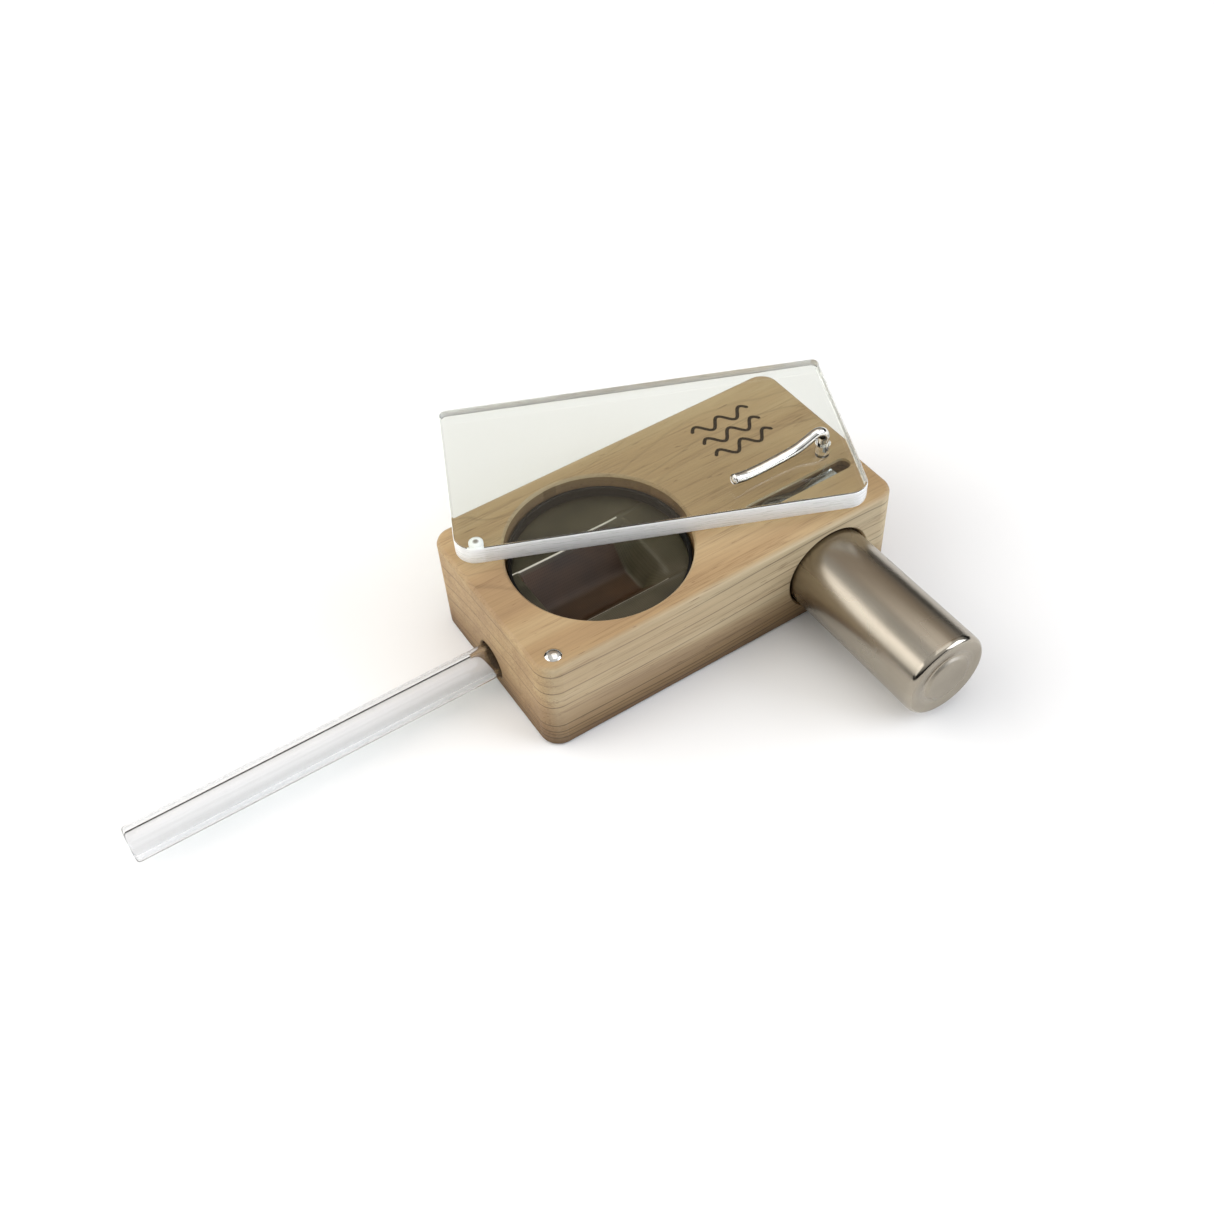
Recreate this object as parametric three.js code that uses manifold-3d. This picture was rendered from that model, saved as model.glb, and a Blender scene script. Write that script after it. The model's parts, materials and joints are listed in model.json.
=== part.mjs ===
// A pocket box vaporizer: a solid maple block with a round heating recess, a swivelling acrylic
// lid held by a spring wire, a glass draw tube at one end and a bare metal cell in a cross bore.
// Millimetres, +Z up. The origin is the centre of the block's underside, +X runs from the draw
// tube's end to the cell's end, and the cell leaves the block towards -Y.

import * as THREE from 'three';
import { mergeVertices } from 'three/addons/utils/BufferGeometryUtils.js';
import Module from 'manifold-3d';

const wasm = await Module();
wasm.setup();

// ---- driving dimensions ----------------------------------------------------------------------

const GAP = 0.3; // clearance kept between pieces that touch

const BLOCK = { length: 62.5, width: 32.9, height: 17.4, corner: 3.0, ease: 0.6 };
const FRONT_Y = -BLOCK.width / 2;
const LEFT_X = -BLOCK.length / 2;

const LID = {
  length: 61.7, width: 31.9, thickness: 3.1, corner: 3.2, backCorner: 1.2, ease: 0.35,
  shiftX: -0.4, shiftY: -0.45, rise: 0.6, openDegrees: 23.8,
};
const LID_BOTTOM = BLOCK.height + LID.rise;
const LID_TOP = LID_BOTTOM + LID.thickness;
const PIVOT = { x: 26.0, y: -4.7 };

const STUD = { x: -28.1, y: -14.0, radius: 1.25, dome: 0.42, lift: 0.12, shank: 0.8, depth: 4.0 };
// The pocket drilled in the lid's underside is a little narrower than the stud's crown, so the
// crown can settle in its mouth.
const DETENT = { radius: 1.1, depth: 1.3, tip: 0.5 };

const WIRE = { radius: 0.8, footZ: 12.9, tipX: 8.9, restZ: LID_TOP + 1.12, humpZ: LID_TOP + 2.7, holeGap: 0.4 };

const RECESS = { x: -11.9, y: -0.35, radius: 14.0, floorZ: 12.8, chamfer: 0.35 };
const SCREEN = { radius: 13.7, topZ: 13.4, sheet: 0.3 };
const TROUGH = { leftX: -22.8, rightX: -4.0, midY: -1.2, topHalf: 6.85, floorHalf: 2.4, floorZ: 8.0 };
const RING = { outer: 13.7, inner: 13.15, bottomZ: SCREEN.topZ + GAP, topZ: 15.4 };

const ROD = { radius: 0.7, z: 12.1, offsetY: 7.4, leftX: -26.4 };
const TRENCH = { leftX: -23.6, rightX: -3.2, shelfHalf: 8.4, shelfZ: 11.1, half: 5.8, floorZ: 2.2 };

const BORE = { x: 18.7, z: 8.2, radius: 7.2, endY: 11.0 };
const CELL = { radius: 6.95, wall: 0.35, canLength: 48.5, proud: 26.6, buttonLength: 1.9 };
const SLOT = {
  y: -8.3, width: 2.4, endRound: 1.19, leftX: 9.0, rightX: 28.3, floorZ: 15.0, deepX: 11.9, deepZ: 11.05,
};

// Contact strips: the side strip's line is in (x, z), the tip strip's line is in (x, y).
const STRIP = { thickness: 0.35, tipBottomZ: 6.95, tipTopZ: 11.9 };
const SIDE_LINE = [
  [9.5, 13.35], [10.4, 13.4], [11.0, 14.4], [11.6, 15.9], [13.0, 16.75],
  [15.4, 16.5], [BORE.x, 15.75], [22.2, 16.45], [25.6, 16.85],
];
const TIP_LINE = [[10.6, 5.3], [10.6, 7.4], [11.4, 8.8], [14.5, 9.3], [BORE.x, 9.0], [22.4, 9.5]];
const POCKET = { low: [8.6, 4.7, 6.6], high: [13.6, 10.8, 13.4] };

const TUBE = { y: 0.8, z: 3.8, outer: 2.75, inner: 1.75, innerX: -25.2, outerX: -88.0 };
const TUBE_HOLE_RADIUS = TUBE.outer + 0.4; // an easy sliding fit

// ---- materials -------------------------------------------------------------------------------

const finish = (color, roughness, metalness, extra = {}) =>
  () => new THREE.MeshStandardMaterial({ color, roughness, metalness, ...extra });

const maple = finish('#cdaf88', 0.6, 0);
const clearAcrylic = finish('#eef2f4', 0.08, 0, { transparent: true, opacity: 0.35 });
const clearGlass = finish('#f1f5f6', 0.03, 0, { transparent: true, opacity: 0.3 });
const polishedSteel = finish('#d5d5d3', 0.12, 1);
const nickelPlate = finish('#a49a8a', 0.32, 1);
const darkWire = finish('#3d3126', 0.55, 0.7);
const blackSteel = finish('#1b1c22', 0.4, 0.8);
const copper = finish('#b87452', 0.3, 1);
const nylon = finish('#dcdcd6', 0.5, 0);
const blackRubber = finish('#26262a', 0.8, 0);
const blackPaste = finish('#2b2a2c', 0.9, 0);
const paper = finish('#e8e5da', 0.9, 0);

// ---- shape helpers ---------------------------------------------------------------------------

function solid(geometry) {
  const bare = geometry.clone();
  bare.deleteAttribute('normal');
  bare.deleteAttribute('uv');
  const merged = mergeVertices(bare, 1e-4);
  return new wasm.Manifold(new wasm.Mesh({
    numProp: 3,
    vertProperties: new Float32Array(merged.attributes.position.array),
    triVerts: new Uint32Array(merged.index.array),
  }));
}

function geometryOf(manifold) {
  const mesh = manifold.getMesh();
  const geometry = new THREE.BufferGeometry();
  geometry.setAttribute('position', new THREE.BufferAttribute(mesh.vertProperties, 3));
  geometry.setIndex(new THREE.BufferAttribute(mesh.triVerts, 1));
  geometry.computeVertexNormals();
  return geometry;
}

function cut(geometry, cutters) {
  return geometryOf(cutters.reduce((left, cutter) => left.subtract(solid(cutter)), solid(geometry)));
}

// A rectangle with round corners, centred on (x, y). The two corners towards +Y can be tighter.
function roundedRectangle(length, width, corner, x = 0, y = 0, backCorner = corner) {
  const shape = new THREE.Shape();
  const [left, right, front, back] = [x - length / 2, x + length / 2, y - width / 2, y + width / 2];
  const quarter = Math.PI / 2;
  shape.absarc(right - corner, front + corner, corner, -quarter, 0);
  shape.absarc(right - backCorner, back - backCorner, backCorner, 0, quarter);
  shape.absarc(left + backCorner, back - backCorner, backCorner, quarter, 2 * quarter);
  shape.absarc(left + corner, front + corner, corner, 2 * quarter, 3 * quarter);
  shape.closePath();
  return shape;
}

// A flat plate between two heights whose edges are eased by a small round.
function easedPlate(shape, bottom, top, ease) {
  const geometry = new THREE.ExtrudeGeometry(shape, {
    depth: top - bottom - 2 * ease, curveSegments: 6,
    bevelThickness: ease, bevelSize: ease, bevelOffset: -ease, bevelSegments: 2,
  });
  return geometry.translate(0, 0, bottom + ease);
}

function plate(shape, bottom, top, curveSegments = 5) {
  const depth = top - bottom;
  const geometry = new THREE.ExtrudeGeometry(shape, { depth, bevelEnabled: false, curveSegments });
  return geometry.translate(0, 0, bottom);
}

function box(low, high) {
  const size = high.map((value, axis) => value - low[axis]);
  const middle = high.map((value, axis) => (value + low[axis]) / 2);
  return new THREE.BoxGeometry(...size).translate(...middle);
}

// A turned body: [radius, height] pairs up the outside, swept round the Y axis.
function turned(profile, segments = 64) {
  return new THREE.LatheGeometry(profile.map(([r, h]) => new THREE.Vector2(r, h)), segments);
}

const alongX = (geometry) => geometry.rotateZ(-Math.PI / 2);
const alongZ = (geometry) => geometry.rotateX(Math.PI / 2);

// A quarter round between two profile points, from angle a to angle b about its own centre.
function quarterRound(centreR, centreH, radius, a, b, steps = 5) {
  return Array.from({ length: steps + 1 }, (_, i) => {
    const angle = a + ((b - a) * i) / steps;
    return [centreR + radius * Math.cos(angle), centreH + radius * Math.sin(angle)];
  });
}

// A strip of sheet metal that follows a smooth line through points, seen from its edge.
function stripOutline(points, thickness, steps) {
  const knots = points.map(([u, v]) => new THREE.Vector3(u, v, 0));
  const line = new THREE.CatmullRomCurve3(knots, false, 'centripetal');
  const samples = Array.from({ length: steps + 1 }, (_, i) => {
    const at = line.getPoint(i / steps);
    const along = line.getTangent(i / steps);
    return { at, side: new THREE.Vector2(-along.y, along.x).multiplyScalar(thickness / 2) };
  });
  const upper = samples.map(({ at, side }) => new THREE.Vector2(at.x + side.x, at.y + side.y));
  const lower = samples.map(({ at, side }) => new THREE.Vector2(at.x - side.x, at.y - side.y));
  return new THREE.Shape([...lower, ...upper.reverse()]);
}

function named(name, geometry, material) {
  const mesh = new THREE.Mesh(geometry, material());
  mesh.name = name;
  return mesh;
}

// ---- the maple block -------------------------------------------------------------------------

// The round recess over the screen, with its mouth eased.
function recessCutter() {
  const { radius, floorZ, chamfer } = RECESS;
  const mouth = BLOCK.height - chamfer;
  const flare = chamfer + 1;
  const profile = [
    [0, floorZ], [radius, floorZ], [radius, mouth], [radius + flare, mouth + flare], [0, mouth + flare],
  ];
  return alongZ(turned(profile, 80)).translate(RECESS.x, RECESS.y, 0);
}

// The air space under the screen, with a shelf on each side that carries a rod.
function trenchCutters() {
  const { leftX, rightX, shelfHalf, shelfZ, half, floorZ } = TRENCH;
  const y = TROUGH.midY;
  return [
    box([leftX, y - half, floorZ], [rightX, y + half, RECESS.floorZ + 1]),
    plate(roundedRectangle(2 * RECESS.radius - 3.6, 2 * shelfHalf, 4, RECESS.x, y), shelfZ, RECESS.floorZ + 1),
  ];
}

function rodHoles() {
  const radius = ROD.radius + GAP;
  return rodEnds().map(({ y, rightX }) => {
    const [from, to] = [ROD.leftX - GAP, rightX + GAP];
    return alongX(turned([[0, from], [radius, from], [radius, to], [0, to]], 16)).translate(0, y, ROD.z);
  });
}

function tubeHole() {
  const [from, to] = [LEFT_X - 1, TRENCH.leftX + 0.5];
  const r = TUBE_HOLE_RADIUS;
  const profile = [[0, from], [r + 1.2, from], [r, LEFT_X + 0.2], [r, to], [0, to]];
  return alongX(turned(profile, 48)).translate(0, TUBE.y, TUBE.z);
}

function cellBore() {
  const { x, z, radius, endY } = BORE;
  const profile = [
    [0, FRONT_Y - 1], [radius + 1.25, FRONT_Y - 1], [radius, FRONT_Y + 0.25], [radius, endY], [0, endY],
  ];
  return turned(profile, 72).translate(x, 0, z);
}

// The slot over the bore: its left end is deep enough to reach the front rod.
function slotCutters() {
  const { y, width, endRound, leftX, rightX, floorZ, deepX, deepZ } = SLOT;
  const middle = (leftX + rightX) / 2;
  const shape = roundedRectangle(rightX - leftX, width, endRound, middle, y);
  const deepShape = roundedRectangle(deepX - leftX, width, endRound, (leftX + deepX) / 2, y);
  const top = BLOCK.height + 1;
  return [plate(shape, floorZ, top), plate(deepShape, deepZ, top)];
}

function pinHole(x, y, radius, bottom) {
  const top = BLOCK.height + 1;
  return alongZ(turned([[0, bottom], [radius, bottom], [radius, top], [0, top]], 24)).translate(x, y, 0);
}

function bodyBlock() {
  const outline = roundedRectangle(BLOCK.length, BLOCK.width, BLOCK.corner);
  const blank = easedPlate(outline, 0, BLOCK.height, BLOCK.ease);
  return cut(blank, [
    recessCutter(),
    ...trenchCutters(),
    ...rodHoles(),
    tubeHole(),
    cellBore(),
    ...slotCutters(),
    box(POCKET.low, POCKET.high), // where the tip strip turns to meet the rear rod
    pinHole(PIVOT.x, PIVOT.y, WIRE.radius + GAP, WIRE.footZ - GAP),
    pinHole(STUD.x, STUD.y, STUD.shank + GAP, BLOCK.height - STUD.depth - GAP),
  ]);
}

// ---- lid, its spring wire and the detent stud ------------------------------------------------

// Drawn closed, with the pivot at the origin.
function lidPlate() {
  const { length, width, corner, backCorner, shiftX, shiftY } = LID;
  const outline = roundedRectangle(length, width, corner, shiftX, shiftY, backCorner);
  const blank = easedPlate(outline, LID_BOTTOM, LID_TOP, LID.ease);
  const holeRadius = WIRE.radius + WIRE.holeGap;
  const [below, above] = [LID_BOTTOM - 1, LID_TOP + 1];
  const pivotHole = [[0, below], [holeRadius, below], [holeRadius, above], [0, above]];
  const detentTop = LID_BOTTOM + DETENT.depth;
  const detent = [[0, below], [DETENT.radius, below], [DETENT.radius, detentTop], [0, detentTop + DETENT.tip]];
  return cut(blank, [
    alongZ(turned(pivotHole, 24)).translate(PIVOT.x, PIVOT.y, 0),
    alongZ(turned(detent, 24)).translate(STUD.x, STUD.y, 0),
  ]).translate(-PIVOT.x, -PIVOT.y, 0);
}

// The wire rises from the block through the lid's pivot hole, turns over a hump and lies along
// the lid, with its tip lifted clear.
function springWire() {
  const { radius, footZ, tipX, restZ, humpZ } = WIRE;
  const route = [
    [PIVOT.x, footZ], [PIVOT.x, 16], [PIVOT.x, 19], [PIVOT.x, LID_TOP], [PIVOT.x + 0.15, humpZ - 1.4],
    [PIVOT.x - 0.3, humpZ - 0.45], [PIVOT.x - 1.4, humpZ], [PIVOT.x - 3.0, humpZ - 0.5],
    [21.0, restZ + 0.38], [17.2, restZ + 0.05], [13.4, restZ], [11.0, restZ + 0.12], [tipX, restZ + 0.6],
  ].map(([x, z]) => new THREE.Vector3(x, PIVOT.y, z));
  const section = new THREE.Shape();
  section.absarc(0, 0, radius, 0, 2 * Math.PI);
  return new THREE.ExtrudeGeometry(section, {
    steps: 40, curveSegments: 5, bevelEnabled: false,
    extrudePath: new THREE.CatmullRomCurve3(route, false, 'centripetal'),
  });
}

function detentStud() {
  const { radius, dome, lift, shank, depth } = STUD;
  const seat = BLOCK.height + lift;
  const sphere = (radius ** 2 + dome ** 2) / (2 * dome);
  const start = Math.asin((sphere - dome) / sphere);
  const cap = quarterRound(0, seat + dome - sphere, sphere, start, Math.PI / 2, 4).slice(1, -1);
  const profile = [
    [0, BLOCK.height - depth], [shank, BLOCK.height - depth], [shank, seat], [radius, seat],
    ...cap, [0, seat + dome],
  ];
  return alongZ(turned(profile, 24)).translate(STUD.x, STUD.y, 0);
}

// ---- heating chamber -------------------------------------------------------------------------

// A tapered trough that runs along X: half widths at its top and at its floor.
function troughPrism(leftX, rightX, topZ, topHalf, floorZ, floorHalf) {
  const y = TROUGH.midY;
  const section = new THREE.Shape([
    new THREE.Vector2(y - floorHalf, floorZ), new THREE.Vector2(y + floorHalf, floorZ),
    new THREE.Vector2(y + topHalf, topZ), new THREE.Vector2(y - topHalf, topZ),
  ]);
  const geometry = new THREE.ExtrudeGeometry(section, { depth: rightX - leftX, bevelEnabled: false });
  // The section's axes (u, v) become (Y, Z), and the extrusion runs along X.
  geometry.applyMatrix4(new THREE.Matrix4().makeBasis(
    new THREE.Vector3(0, 1, 0), new THREE.Vector3(0, 0, 1), new THREE.Vector3(1, 0, 0)));
  return geometry.translate(leftX, 0, 0);
}

function meshScreen() {
  const { radius, topZ, sheet } = SCREEN;
  const { leftX, rightX, topHalf, floorHalf, floorZ } = TROUGH;
  const slope = (topHalf - floorHalf) / (topZ - floorZ);
  const disc = [[0, topZ - sheet], [radius, topZ - sheet], [radius, topZ], [0, topZ]];
  const wide = sheet * Math.hypot(1, slope);
  const outer = troughPrism(leftX - sheet, rightX + sheet, topZ, topHalf + wide,
    floorZ - sheet, floorHalf + wide - slope * sheet);
  const inner = troughPrism(leftX, rightX, topZ + 1, topHalf + slope, floorZ, floorHalf);
  const flat = alongZ(turned(disc, 72)).translate(RECESS.x, RECESS.y, 0);
  return geometryOf(solid(flat).add(solid(outer)).subtract(solid(inner)));
}

function screenRing() {
  const { outer, inner, bottomZ, topZ } = RING;
  const profile = [[inner, bottomZ], [outer, bottomZ], [outer, topZ], [inner, topZ], [inner, bottomZ]];
  return alongZ(turned(profile, 64)).translate(RECESS.x, RECESS.y, 0);
}

function rodEnds() {
  return [
    { name: 'bus_rod_front', y: TROUGH.midY - ROD.offsetY, rightX: 11.2 },
    { name: 'bus_rod_rear', y: TROUGH.midY + ROD.offsetY, rightX: 10.1 },
  ];
}

function busRod(y, rightX) {
  const { radius, leftX, z } = ROD;
  const ease = 0.15;
  const profile = [
    [0, leftX], [radius - ease, leftX], [radius, leftX + ease],
    [radius, rightX - ease], [radius - ease, rightX], [0, rightX],
  ];
  return alongX(turned(profile, 16)).translate(0, y, z);
}

// ---- the cell's contacts ---------------------------------------------------------------------

// A strip that stands on the front rod and bows down over the can.
function sideContact() {
  const width = SLOT.width - 2 * GAP;
  const outline = stripOutline(SIDE_LINE, STRIP.thickness, 40);
  const geometry = new THREE.ExtrudeGeometry(outline, { depth: width, bevelEnabled: false });
  // The outline's axes (u, v) become (X, Z), and the strip's width runs along -Y.
  geometry.rotateX(Math.PI / 2);
  return geometry.translate(0, SLOT.y + width / 2, 0);
}

// A spring strip across the bore's inner end, turned to face the rear rod's end.
function tipContact() {
  return plate(stripOutline(TIP_LINE, STRIP.thickness, 30), STRIP.tipBottomZ, STRIP.tipTopZ);
}

// ---- the cell, drawn from its outer end at the origin, along +Y ------------------------------

function cellCan() {
  const { radius, wall, canLength } = CELL;
  const half = Math.PI / 2;
  const corner = 0.9;
  const grooveY = canLength - 3.0;
  const inside = radius - wall;
  const outsideProfile = [
    [0, 0], [3.9, 0], [4.3, 0.35], [radius - corner, 0.35],
    ...quarterRound(radius - corner, 0.35 + corner, corner, -half, 0, 3),
    [radius, grooveY - 0.6], [radius - 0.5, grooveY], [radius, grooveY + 0.6],
    ...quarterRound(radius - 0.6, canLength - 0.6, 0.6, 0, half, 2),
    [5.75, canLength],
  ];
  const insideProfile = [
    [5.75, canLength - wall], [inside - 0.2, canLength - wall], [inside, canLength - wall - 0.2],
    [inside, grooveY + 0.7], [inside - 0.5, grooveY], [inside, grooveY - 0.7],
    [inside, 1.4], [inside - 0.7, 0.75], [0, 0.75],
  ];
  return turned([...outsideProfile, ...insideProfile], 48);
}

// The positive cap: a flange with a raised hollow nub.
function cellButton() {
  const seat = CELL.canLength - 1.6;
  const top = CELL.canLength + CELL.buttonLength;
  const profile = [
    [2.35, seat], [5.1, seat], [5.1, seat + 0.3], [2.75, seat + 0.3], [2.75, top - 0.3],
    [2.45, top], [0, top],
  ];
  return turned([...profile, [0, top - 0.3], [2.35, top - 0.3], [2.35, seat]], 32);
}

function ringAround(inner, outer, from, to, segments = 24) {
  return turned([[inner, from], [outer, from], [outer, to], [inner, to], [inner, from]], segments);
}

function disc(radius, from, to) {
  return turned([[0, from], [radius, from], [radius, to], [0, to]], 24);
}

function cellPieces() {
  const { canLength } = CELL;
  const rollFrom = 1.5;
  const rollTo = canLength - 4.6;
  return [
    named('cell_can', cellCan(), nickelPlate),
    named('cell_button', cellButton(), polishedSteel),
    named('cell_gasket', ringAround(5.4, 6.25, canLength - 1.9, canLength - 0.7), nylon),
    named('cell_vent_plug', disc(1.8, canLength - 1.2, canLength + 1.0), blackRubber),
    named('cell_collector', disc(4.8, rollTo + 0.9, rollTo + 1.2), polishedSteel),
    named('cell_top_insulator', disc(5.2, rollTo + 0.3, rollTo + 0.6), paper),
    named('cell_bottom_insulator', disc(5.4, rollFrom - 0.45, rollFrom - 0.3), paper),
    named('cell_negative_plate', ringAround(5.0, 6.25, rollFrom, rollTo), blackPaste),
    named('cell_separator', ringAround(4.2, 4.7, rollFrom, rollTo), paper),
    named('cell_positive_plate', ringAround(1.0, 3.9, rollFrom, rollTo), blackPaste),
  ];
}

// ---- draw tube -------------------------------------------------------------------------------

// Fire-polished at both ends.
function drawTube() {
  const { outer, inner, innerX, outerX } = TUBE;
  const lip = (outer - inner) / 2;
  const middle = inner + lip;
  const profile = [
    ...quarterRound(middle, outerX + lip, lip, -Math.PI, 0, 4),
    ...quarterRound(middle, innerX - lip, lip, 0, Math.PI, 4),
    [inner, outerX + lip],
  ];
  return alongX(turned(profile, 32)).translate(0, TUBE.y, TUBE.z);
}

// ---- assembly --------------------------------------------------------------------------------

const lidGroup = new THREE.Group();
lidGroup.position.set(PIVOT.x, PIVOT.y, 0);
lidGroup.rotation.z = -THREE.MathUtils.degToRad(LID.openDegrees);
lidGroup.add(named('lid', lidPlate(), clearAcrylic));

const cellGroup = new THREE.Group();
cellGroup.position.set(BORE.x, FRONT_Y - CELL.proud, BORE.z);
cellGroup.add(...cellPieces());

const boxVaporizer = new THREE.Group();
boxVaporizer.add(
  named('body_block', bodyBlock(), maple),
  named('lid_spring_wire', springWire(), polishedSteel),
  named('detent_stud', detentStud(), polishedSteel),
  named('screen_ring', screenRing(), blackSteel),
  named('mesh_screen', meshScreen(), darkWire),
  ...rodEnds().map(({ name, y, rightX }) => named(name, busRod(y, rightX), copper)),
  named('side_contact', sideContact(), polishedSteel),
  named('tip_contact', tipContact(), copper),
  named('draw_tube', drawTube(), clearGlass),
  lidGroup,
  cellGroup,
);

export default boxVaporizer;
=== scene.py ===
# %% [markdown]
# # A pocket box vaporizer
# A solid maple block, about as long as a matchbox, holds a round screened recess. A clear acrylic
# lid swivels over it on a spring wire, a glass draw tube leaves one end, and a bare metal cell is
# pushed into a bore in the long side. The frame below gives every piece its place and its motion;
# this file gives each one its surface.

# %% Load the frame
import json
import math
from functools import partial

import bmesh
import bpy
import numpy as np
from mathutils import Matrix, Vector


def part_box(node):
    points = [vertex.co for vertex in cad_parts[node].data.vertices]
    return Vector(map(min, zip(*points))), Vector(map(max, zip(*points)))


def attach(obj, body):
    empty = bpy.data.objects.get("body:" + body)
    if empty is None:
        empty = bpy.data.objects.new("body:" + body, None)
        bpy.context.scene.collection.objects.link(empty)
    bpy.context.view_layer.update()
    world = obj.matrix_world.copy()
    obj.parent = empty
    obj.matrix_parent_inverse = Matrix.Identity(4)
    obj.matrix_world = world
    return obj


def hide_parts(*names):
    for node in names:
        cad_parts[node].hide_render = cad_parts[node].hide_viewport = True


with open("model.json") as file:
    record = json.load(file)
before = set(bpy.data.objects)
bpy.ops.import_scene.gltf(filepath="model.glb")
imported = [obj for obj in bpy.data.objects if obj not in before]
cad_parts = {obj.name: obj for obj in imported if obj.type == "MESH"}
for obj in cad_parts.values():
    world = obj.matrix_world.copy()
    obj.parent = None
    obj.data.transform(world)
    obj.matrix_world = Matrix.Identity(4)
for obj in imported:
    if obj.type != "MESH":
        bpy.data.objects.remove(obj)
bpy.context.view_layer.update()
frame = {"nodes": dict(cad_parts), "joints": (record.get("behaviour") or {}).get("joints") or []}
MM = 0.001
joints = {joint["name"]: joint for joint in frame["joints"]}

# %% [markdown]
# ## Measures from the frame
# The frame works in metres. Measures are easier to read in millimetres, so each node's box is
# turned into millimetres once, and everything below is worked out from these boxes.

# %% Boxes in millimetres
def box_mm(node):
    """The lowest and highest corner of a node, in millimetres."""
    low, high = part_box(node)
    return np.array(low) / MM, np.array(high) / MM


block_low, block_high = box_mm("body_block")
lid_low, lid_high = box_mm("lid")
can_low, can_high = box_mm("cell_can")
tube_low, tube_high = box_mm("draw_tube")
wire_low, wire_high = box_mm("lid_spring_wire")
screen_low, screen_high = box_mm("mesh_screen")
ring_low, ring_high = box_mm("screen_ring")
stud_low, stud_high = box_mm("detent_stud")
pivot = np.array(joints["lid_swing"]["pos_m"]) / MM
closed_turn = math.radians(joints["lid_swing"]["range_deg"][1])
print("block", block_high - block_low, "pivot", pivot, "lid closes by", math.degrees(closed_turn))

# %% [markdown]
# ## Camera
# A camera can be thought of as standing on a sphere round the point that it looks at: azimuth and
# elevation give the direction, and a small roll tilts the picture. A moderately long lens, close to
# a portrait lens, keeps the box's sides nearly parallel.

# %% Place the camera
LOOK_AT = Vector((-14.9, -6.7, 12.0)) * MM
AZIMUTH, ELEVATION, ROLL = (math.radians(angle) for angle in (-29.65, 48.24, -4.25))
DISTANCE, LENS = 198.5 * MM, 40.3

back = Vector((
    math.sin(AZIMUTH) * math.cos(ELEVATION),
    -math.cos(AZIMUTH) * math.cos(ELEVATION),
    math.sin(ELEVATION),
))
level = Vector((0, 0, 1)).cross(back).normalized()
upright = back.cross(level)
right = math.cos(ROLL) * level + math.sin(ROLL) * upright
up = -math.sin(ROLL) * level + math.cos(ROLL) * upright

camera_data = bpy.data.cameras.new("camera")
camera_data.lens = LENS
camera_data.sensor_width = 36
camera_data.clip_start = 0.005
camera = bpy.data.objects.new("camera", camera_data)
facing_out = Matrix((right, up, back)).transposed().to_4x4()
camera.matrix_world = Matrix.Translation(LOOK_AT + DISTANCE * back) @ facing_out
bpy.context.collection.objects.link(camera)
bpy.context.scene.camera = camera
print("camera at", camera.location)

# %% [markdown]
# ## Colours and nodes
# Colours are written as the hex codes that a paint shop would use, and turned to the linear light
# that the renderer counts in. One helper adds any shader node with its settings and its links, and
# leans on a smaller one that feeds a node's sockets, so each material reads as a list of steps.

# %% Helpers for materials
def linear(code):
    """An sRGB hex code as linear light: the usual curve, straight near black and a 2.4 power above."""
    values = np.array([int(code[i:i + 2], 16) / 255 for i in (1, 3, 5)])
    light = np.where(values <= 0.04045, values / 12.92, ((values + 0.055) / 1.055) ** 2.4)
    return (*light, 1.0)


def feed(node, feeds):
    """Gives each input, by name or number, a value, a colour's hex code or another node's output."""
    for key, value in feeds.items():
        if isinstance(value, bpy.types.NodeSocket):
            node.id_data.links.new(value, node.inputs[key])
        else:
            node.inputs[key].default_value = linear(value) if isinstance(value, str) else value


def add_node(tree, kind, feeds=(), does=None, out=0, **settings):
    """Adds a node and gives back one of its outputs. Feeds go to its inputs in order, or by name.
    What it does is a maths node's operation, or a colour ramp's (position, colour) pairs, where a
    colour is a hex code or a grey."""
    node = tree.nodes.new("ShaderNode" + kind)
    if isinstance(does, str):
        settings["operation"] = does
    for name, value in settings.items():
        setattr(node, name, value)
    feed(node, feeds if isinstance(feeds, dict) else dict(enumerate(feeds)))
    if kind == "ValToRGB":
        elements = node.color_ramp.elements
        while len(elements) < len(does):
            elements.new(0.5)
        for element, (position, colour) in zip(elements, does):
            element.position = position
            element.color = linear(colour) if isinstance(colour, str) else (colour, colour, colour, 1)
    return node.outputs[out]


# A Mix node keeps its colours at inputs 6 and 7, and its mixed colour at output 2.
BLEND = {"out": 2, "data_type": "RGBA", "blend_type": "MIX"}
DARKEN = {"out": 2, "data_type": "RGBA", "blend_type": "MULTIPLY"}

# %% [markdown]
# ### What every material shares
# A pattern has to sit still on its piece, so it reads the piece's own coordinates, and in
# millimetres its scale can be read off a ruler. A glass shader alone throws a solid shadow, so rays
# that look for a lamp meet a thin tinted sheet instead, as real glass lets light down to the floor.

# %% Materials, coordinates and clear shadows
def new_material(name):
    """An empty material, add_node tied to its node tree, and its Principled shader."""
    material = bpy.data.materials.new(name)
    material.use_nodes = True
    return material, partial(add_node, material.node_tree), material.node_tree.nodes["Principled BSDF"]


def millimetres(add, scale=(1, 1, 1), turn=(0, 0, 0), shift=(0, 0, 0)):
    """The piece's own coordinates in millimetres, then shifted, turned and scaled for a pattern."""
    grown = add("VectorMath", (add("TexCoord", out="Object"), (1 / MM,) * 3), "MULTIPLY")
    return add("Mapping", {"Vector": grown, "Location": shift, "Rotation": turn, "Scale": scale})


def lets_lamps_through(add, shader, tint):
    """Shadow rays meet a clear sheet of the given tint, and all other rays meet the shader."""
    path = add("LightPath", out="Is Shadow Ray")
    clear = add("BsdfTransparent", (tint,))
    mixed = add("MixShader", (path, shader.outputs[0], clear))
    feed(shader.id_data.nodes["Material Output"], {"Surface": mixed})


# %% [markdown]
# ## Surfaces as functions
# Most of the object is turned, drawn or bent, so its pieces are surfaces of two parameters: one
# runs round a section and the other runs along a profile or a path. Each is worked out as a whole
# array of points and put into a mesh as one grid of faces. Points that meet are merged, so poles
# and seams close.

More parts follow.
